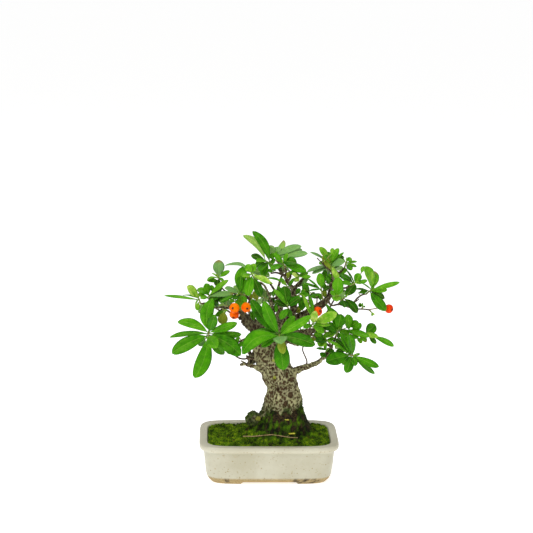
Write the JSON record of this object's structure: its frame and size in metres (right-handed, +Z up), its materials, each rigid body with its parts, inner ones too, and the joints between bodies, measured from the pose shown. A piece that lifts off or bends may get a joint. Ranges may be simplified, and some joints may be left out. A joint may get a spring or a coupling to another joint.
{
  "type": "narrowleaf firethorn bonsai in a pot",
  "caption": "Shohin-size narrowleaf firethorn bonsai with glossy leaves and orange berries, standing in moss in a cream glazed rectangular pot with rounded corners.",
  "frame": {"origin": "on the surface that the pot's feet stand on, under the middle of the whole tree's box", "axes": "+X along the pot's long side, to the viewer's right; -Y is the front of the tree; +Z up"},
  "size_m": [0.1934, 0.1128, 0.2057],
  "materials": {
    "glazed_stoneware": "satin",
    "drain_mesh": "matte",
    "potting_soil": "matte",
    "moss": "matte",
    "bark": "matte",
    "leaf": "satin",
    "berry_skin": "gloss",
    "dry_twig": "matte",
    "fallen_leaf": "matte"
  },
  "bodies": {
    "root": {"pot": "glazed_stoneware", "screen_left": "drain_mesh", "screen_right": "drain_mesh", "soil": "potting_soil", "moss": "moss", "wood": "bark", "spray_left_low": "leaf", "spray_left_far": "leaf", "spray_left_tuft": "leaf", "spray_left_high": "leaf", "spray_left_mid": "leaf", "spray_left_olive": "leaf", "spray_crown_left": "leaf", "spray_crown_mid": "leaf", "spray_crown_top": "leaf", "spray_crown_right": "leaf", "spray_crown_inner": "leaf", "spray_leader": "leaf", "spray_leader_right": "leaf", "spray_mid": "leaf", "spray_front": "leaf", "spray_mid_right": "leaf", "spray_right_inner": "leaf", "spray_right_yellow": "leaf", "spray_right_fan": "leaf", "spray_right_low": "leaf", "spray_right_small": "leaf", "spray_inner_right": "leaf", "spray_inner_left": "leaf", "spray_right_top": "leaf", "spray_right_tuft": "leaf", "spray_right_bud": "leaf", "spray_right_front": "leaf", "spray_right_pair": "leaf", "spray_far_right": "leaf", "spray_round": "leaf", "spray_spur": "leaf", "spray_back_1": "leaf", "spray_back_2": "leaf", "spray_back_3": "leaf", "spray_back_4": "leaf", "spray_back_5": "leaf", "spray_back_6": "leaf", "spray_back_7": "leaf", "spray_back_8": "leaf", "spray_back_9": "leaf", "spray_back_10": "leaf", "spray_back_11": "leaf", "spray_back_12": "leaf", "berry_1": "berry_skin", "berry_2": "berry_skin", "berry_3": "berry_skin", "berry_4": "berry_skin", "berry_5": "berry_skin", "fallen_twig": "dry_twig", "fallen_leaf_front": "fallen_leaf", "fallen_leaf_mound": "fallen_leaf"}
  },
  "joints": []
}
